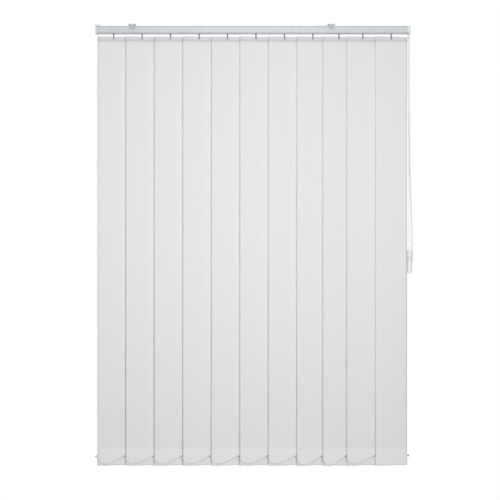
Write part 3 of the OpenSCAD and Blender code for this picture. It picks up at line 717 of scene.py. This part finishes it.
round_pin = [math.radians(a) for a in (225, 270, 315)]
cord_route = [
    *strand_points(CORD_EXITS[0], PIN_X - PIN_RADIUS),
    *[
        (PIN_X + PIN_RADIUS * math.cos(a), CORD_Y, EXIT_Z - CORD_DROP + PIN_RADIUS * math.sin(a))
        for a in round_pin
    ],
    *reversed(strand_points(CORD_EXITS[1], PIN_X + PIN_RADIUS)),
]
CLOSE = 3.4 * MM  # the longest step along the cord, under two of its diameters
cord_line = close_points(smooth_line([Vector(p) * MM for p in cord_route], 4), CLOSE)
curve = bpy.data.curves.new("draw_cord_line", "CURVE")
curve.dimensions = "3D"
curve.bevel_depth = CORD / 2
curve.bevel_resolution = 3
curve.use_fill_caps = True
spline = curve.splines.new("POLY")
spline.points.add(len(cord_line) - 1)
for point, place in zip(spline.points, cord_line):
    point.co = (*place, 1)
curve.materials.append(braid)
draw_cord = bpy.data.objects.new("braided_draw_cord", curve)
bpy.context.scene.collection.objects.link(draw_cord)
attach(draw_cord, "root")
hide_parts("draw_cord")
print("draw cord", round(line_length(cord_line), 3), "metres")

# %% The control chain
BALL = 4.5 * MM  # a ball's diameter
BALL_STEP = 6 * MM
BALL_THREAD = 0.6 * MM  # the thread's radius
CHAIN_X, ROD_Y, LOOP_DROP = 684.6, 8.5, 886
SPROCKET_RADIUS = 7.6
# places along the rail and away from the room, and shares of the drop
LOOP = [
    (0, -SPROCKET_RADIUS, 0), (0.1, -7.4, 0.06), (1, -6.5, 0.241), (3.8, -5.5, 0.444),
    (7.6, -4.9, 0.636), (12.6, -4.5, 0.783), (16, -5.1, 0.895), (17.2, -5.9, 0.963),
    (17, -4.7, 0.983), (16.3, -0.5, 0.996), (15.4, 4.5, 1), (14.3, 9.5, 0.996),
    (13.4, 13.7, 0.983), (12.8, 14.9, 0.963), (11.8, 14.1, 0.895), (10, 12.5, 0.783),
    (6.8, 11.1, 0.636), (3.2, 9.9, 0.444), (0.8, 8.9, 0.241), (0.1, 8, 0.06),
    (0, SPROCKET_RADIUS, 0),
]
chain_route = [(CHAIN_X + x, ROD_Y + y, EXIT_Z - down * LOOP_DROP) for x, y, down in LOOP]
chain_points = smooth_line([Vector(p) * MM for p in chain_route], 6)
chain_length = line_length(chain_points)
bm = bmesh.new()
add_thread(bm, chain_points, BALL_THREAD)
add_beads(bm, even_points(chain_points, round(chain_length / BALL_STEP)), BALL)
control_chain = make_piece("ball_control_chain", bm, "root", ball_plastic)
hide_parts("control_chain")
print("control chain", round(chain_length, 3), "metres")

# %% [markdown]
# ## Rigid pieces
#
# The rail, caps, clips, carriers and weights have their true shape in the solid model. What they
# lack is the small radius that every moulded or stamped edge has, which catches the light. So each
# is copied, its triangles are merged back into whole faces, and a Bevel modifier rounds the sharp
# edges by a fraction of a millimetre.


# %% A copy with eased edges
def eased_copy(node, body, finish, radius):
    """A copy of a node for a body, with its sharp edges eased by a radius in millimetres."""
    bm = bmesh.new()
    bm.from_mesh(nodes[node].data)
    bmesh.ops.remove_doubles(bm, verts=bm.verts, dist=0.01 * MM)
    bmesh.ops.dissolve_limit(
        bm, angle_limit=math.radians(0.5), verts=bm.verts, edges=bm.edges, delimit={"SHARP"}
    )
    piece = make_piece(f"{node}_finished", bm, body, finish, 35)
    edge = piece.modifiers.new("eased_edge", "BEVEL")
    edge.width = radius * MM
    edge.segments = 2
    edge.limit_method = "ANGLE"
    edge.angle_limit = math.radians(40)
    edge.use_clamp_overlap = True
    edge.harden_normals = True
    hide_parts(node)
    return piece


eased_copy("headrail", "root", rail_coat_and_painted_shade, 0.3)
eased_copy("control_end_cap", "root", cap_plastic, 0.5)
eased_copy("idle_end_cap", "root", cap_plastic, 0.6)
for side in ("left", "right"):
    eased_copy(f"{side}_bracket", "root", clip_steel, 0.2)
    eased_copy(f"{side}_lock_lever", f"{side}_lever", clip_steel, 0.2)
cord_weight = eased_copy("cord_weight", "root", tassel_plastic, 0.7)
for i in range(1, VANES + 1):
    truck = f"truck_{i}" if i < VANES else "root"
    eased_copy(f"carrier_{i}", truck, carrier_plastic, 0.15)
    eased_copy(f"weight_{i}", f"vane_{i}", weight_plastic, 0.3)

# %% [markdown]
# A hanger node holds two pieces: the dark stem with its hook, and the stiff plate inside the top
# pocket. One eased copy serves for both, with the plate's faces given their own finish. They are
# the faces below the vane's top that lie wholly within 0.55 mm of the vane's plane.


# %% Stems and their plates
PLATE_HALF = 0.55 * MM


def finish_hanger(i):
    piece = eased_copy(f"hanger_{i}", f"vane_{i}", [stem_plastic, plate_plastic], 0.12)
    normal = Vector((-math.sin(TILT), math.cos(TILT), 0))
    centre = Vector((stem_x[i], 0, 0))
    mesh = piece.data
    for face in mesh.polygons:
        corners = [mesh.vertices[v].co for v in face.vertices]
        flat = all(abs((c - centre).dot(normal)) < PLATE_HALF for c in corners)
        face.material_index = int(flat and all(c.z < VANE_TOP for c in corners))
    return piece


hangers = [finish_hanger(i) for i in range(1, VANES + 1)]
for node, finish in (
    ("tilt_rod", rod_metal), ("sprocket", carrier_plastic), ("idle_pulley", carrier_plastic),
    ("cords_in_rail", braid),
):
    nodes[node].data.materials.clear()
    nodes[node].data.materials.append(finish)
print(len(hangers), "hangers")

# %% [markdown]
# ## Floor, light and background
#
# The portrait has a white background. Two soft spots stand in front. The key is at the right, and
# throws each vane's front edge as a thin shadow on its neighbour. The other is higher and in the
# middle, and fills those shadows near the top, so the seams darken towards the foot. Both grow
# dimmer towards the rim of their cones, which gives the vanes the portrait's slow change of tone. A
# third lamp, behind, lights the back of the blind for other views. The world adds an even light
# that is stronger from below, as over a white floor. Its full white is seen only by the camera and
# in reflections, so it adds no diffuse light.


# %% Light path helper
def seen_directly(tree):
    """1 for camera, glossy and transmission rays, 0 for light that is scattered or cast."""
    path = tree.nodes.new("ShaderNodeLightPath")
    both = combine(tree, path.outputs["Is Camera Ray"], path.outputs["Is Glossy Ray"])
    return combine(tree, both, path.outputs["Is Transmission Ray"])


# %% World
FROM_BELOW, FROM_ABOVE = 0.74, 0.18
world = bpy.data.worlds.new("studio")
bpy.context.scene.world = world
world.use_nodes = True
tree = world.node_tree
ambient = tree.nodes["Background"]
ambient.inputs["Color"].default_value = (0.97, 0.985, 1.0, 1)
sky = tree.nodes.new("ShaderNodeTexCoord")
upwards = tree.nodes.new("ShaderNodeSeparateXYZ")
tree.links.new(sky.outputs["Generated"], upwards.inputs["Vector"])
fill = tree.nodes.new("ShaderNodeMapRange")
fill.inputs["From Min"].default_value = -1
fill.inputs["From Max"].default_value = 1
fill.inputs["To Min"].default_value = FROM_BELOW
fill.inputs["To Max"].default_value = FROM_ABOVE
tree.links.new(upwards.outputs["Z"], fill.inputs["Value"])
tree.links.new(fill.outputs["Result"], ambient.inputs["Strength"])
white = tree.nodes.new("ShaderNodeBackground")
white.inputs["Color"].default_value = (1, 1, 1, 1)
white.inputs["Strength"].default_value = 1.0
mix = tree.nodes.new("ShaderNodeMixShader")
tree.links.new(seen_directly(tree), mix.inputs["Fac"])
tree.links.new(ambient.outputs["Background"], mix.inputs[1])
tree.links.new(white.outputs["Background"], mix.inputs[2])
tree.links.new(mix.outputs["Shader"], tree.nodes["World Output"].inputs["Surface"])

# %% Floor
FLOOR_Z = -3.7
FLOOR_HALF = 7  # in metres
FLOOR_GLOW = 0.55  # added where the floor is seen, so that it stays near white
floor_finish, tree, shader = start_finish("pale_floor", (0.82, 0.82, 0.82), 0.9)
shader.inputs["Emission Color"].default_value = (1, 1, 1, 1)
glow = spread(tree, seen_directly(tree), 0.0, FLOOR_GLOW)
tree.links.new(glow, shader.inputs["Emission Strength"])
bm = bmesh.new()
bmesh.ops.create_grid(bm, x_segments=1, y_segments=1, size=FLOOR_HALF)
bmesh.ops.translate(bm, verts=bm.verts, vec=(0, 0, FLOOR_Z))
mesh = bpy.data.meshes.new("floor")
bm.to_mesh(mesh)
bm.free()
mesh.materials.append(floor_finish)
floor = bpy.data.objects.new("floor", mesh)
bpy.context.scene.collection.objects.link(floor)
floor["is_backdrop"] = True


# %% Lamps
def turn_to(holder, place, aim):
    holder.location = place
    holder.rotation_euler = (Vector(aim) - Vector(place)).to_track_quat("-Z", "Y").to_euler()
    bpy.context.scene.collection.objects.link(holder)


def soft_lamp(name, place, aim, size, watts):
    light = bpy.data.lights.new(name, "AREA")
    light.size = size
    light.energy = watts
    turn_to(bpy.data.objects.new(name, light), place, aim)


def spot_lamp(name, place, aim, radius, cone, watts):
    light = bpy.data.lights.new(name, "SPOT")
    light.shadow_soft_size = radius
    light.spot_size = math.radians(cone)
    light.spot_blend = 1
    light.energy = watts
    turn_to(bpy.data.objects.new(name, light), place, aim)


spot_lamp("key", (0.8, -5, -0.9), aim=(0.49, 0, -2.3), radius=0.4, cone=77.6, watts=396)
spot_lamp("high", (0, -4.2, 1.03), aim=(-0.11, 0, 0.03), radius=0.6, cone=56, watts=304)
soft_lamp("back", (-0.9, 3.4, 1.4), aim=(0, 0, -0.8), size=1.6, watts=60)

scene = bpy.context.scene
scene.view_settings.view_transform = "Standard"
low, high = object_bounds()
print("visual box", [round(v, 4) for v in low], [round(v, 4) for v in high])
